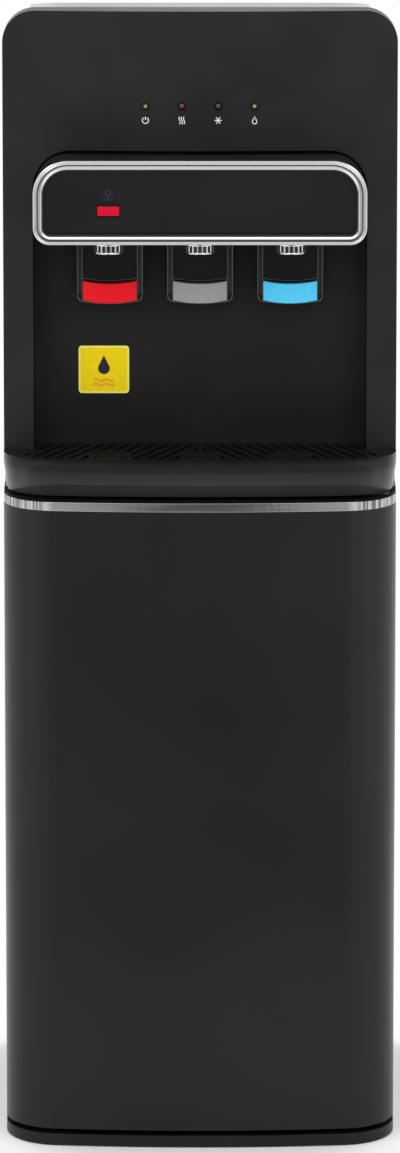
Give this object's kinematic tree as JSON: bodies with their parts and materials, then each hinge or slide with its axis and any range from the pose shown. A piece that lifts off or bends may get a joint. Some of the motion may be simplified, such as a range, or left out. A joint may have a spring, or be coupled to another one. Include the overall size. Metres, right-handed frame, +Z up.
{
  "type": "bottom-loading water dispenser",
  "caption": "Free-standing water dispenser with a bowed door over a bottle bay, an alcove with taps and push levers under a bright-rimmed housing, and a drip tray.",
  "frame": {"origin": "on the floor under the middle of the overall box", "axes": "+Z up along the height, -Y towards the user in front of the door, +X to the user's right"},
  "size_m": [0.344, 0.36, 1],
  "materials": {
    "satin_black": "fine satin grain",
    "gloss_black": "polished",
    "door_black": "satin lacquer",
    "body_black": "powder coat",
    "chrome": "bright",
    "galvanised": "zinc coated",
    "steel": "machined",
    "grey_plastic": "moulded",
    "white_plastic": "moulded",
    "red_plastic": "moulded",
    "silver_plastic": "moulded",
    "blue_plastic": "moulded",
    "rubber_black": "moulded",
    "silicone": "translucent",
    "lamp_clear": "lamp lens",
    "board_green": "circuit board",
    "copper_black": "gloss black lacquer",
    "foam_grey": "insulation shell"
  },
  "bodies": {
    "cabinet": {"alcove_panel": "satin_black", "base_plinth": "satin_black", "bottle_probe": "white_plastic", "chrome_ring": "chrome", "cold_tank": "foam_grey", "compressor": "copper_black", "compressor_mounts": "rubber_black", "condenser": "copper_black", "condenser_mounts": "satin_black", "control_box": "white_plastic", "door_magnet": "rubber_black", "drain_outlet": "white_plastic", "drip_shelf": "gloss_black", "fascia_frame": "satin_black", "foot_pads": "rubber_black", "hinge_brackets": "steel", "hot_tank": "steel", "led_board": "board_green", "led_lenses": "lamp_clear", "lever_pins": "steel", "lock_switch_case": "grey_plastic", "mid_deck": "galvanised", "nozzle_cold": "chrome", "nozzle_hot": "chrome", "nozzle_normal": "chrome", "pod_face": "satin_black", "pod_shell": "satin_black", "power_inlet": "rubber_black", "probe_holder": "white_plastic", "rear_panel_lower": "galvanised", "rear_panel_upper": "galvanised", "side_panel_left": "body_black", "side_panel_right": "body_black", "suction_hose": "silicone", "switch_frame": "satin_black", "tank_shelf": "galvanised", "tap_body_cold": "white_plastic", "tap_body_hot": "white_plastic", "tap_body_normal": "white_plastic", "top_cover": "gloss_black", "water_pump": "grey_plastic"},
    "door": {"door_skin": "door_black", "door_liner": "grey_plastic", "door_top_cap": "satin_black", "door_bottom_cap": "satin_black", "door_trim": "chrome", "hinge_bushes": "white_plastic", "strike_plate": "steel"},
    "tray": {"drip_tray": "satin_black"},
    "grille": {"drip_grille": "satin_black"},
    "lock_key": {"lock_button": "red_plastic"},
    "hot_rocker": {"rocker_hot": "red_plastic"},
    "cold_rocker": {"rocker_cold": "grey_plastic"},
    "hot_lever": {"lever_hot": "satin_black", "lever_pad_hot": "red_plastic"},
    "normal_lever": {"lever_normal": "satin_black", "lever_pad_normal": "silver_plastic"},
    "cold_lever": {"lever_cold": "satin_black", "lever_pad_cold": "blue_plastic"}
  },
  "joints": [
    {"name": "door_hinge", "type": "hinge", "parent": "cabinet", "child": "door", "pos_m": [0.158, -0.138, 0.3], "axis": [0, 0, 1], "range_deg": [0, 105]},
    {"name": "tray_lift", "type": "slide", "parent": "cabinet", "child": "tray", "axis": [0, 0, 1], "range_m": [0, 0.04]},
    {"name": "grille_lift", "type": "slide", "parent": "tray", "child": "grille", "axis": [0, 0, 1], "range_m": [0, 0.03]},
    {"name": "lock_press", "type": "slide", "parent": "cabinet", "child": "lock_key", "axis": [0, 1, 0], "range_m": [0, 0.0025], "stiffness_N_per_m": 800, "springref_m": -0.001},
    {"name": "hot_lever_push", "type": "hinge", "parent": "cabinet", "child": "hot_lever", "pos_m": [-0.079, -0.1, 0.818], "axis": [1, 0, 0], "range_deg": [0, 8], "stiffness_Nm_per_rad": 1.5, "springref_deg": -5.73},
    {"name": "normal_lever_push", "type": "hinge", "parent": "cabinet", "child": "normal_lever", "pos_m": [0, -0.1, 0.818], "axis": [1, 0, 0], "range_deg": [0, 8], "stiffness_Nm_per_rad": 1.5, "springref_deg": -5.73},
    {"name": "cold_lever_push", "type": "hinge", "parent": "cabinet", "child": "cold_lever", "pos_m": [0.079, -0.1, 0.818], "axis": [1, 0, 0], "range_deg": [0, 8], "stiffness_Nm_per_rad": 1.5, "springref_deg": -5.73},
    {"name": "hot_switch", "type": "hinge", "parent": "cabinet", "child": "hot_rocker", "pos_m": [0.057, 0.151, 0.925], "axis": [1, 0, 0], "range_deg": [-14, 0]},
    {"name": "cold_switch", "type": "hinge", "parent": "cabinet", "child": "cold_rocker", "pos_m": [0.083, 0.151, 0.925], "axis": [1, 0, 0], "range_deg": [-14, 0]}
  ]
}
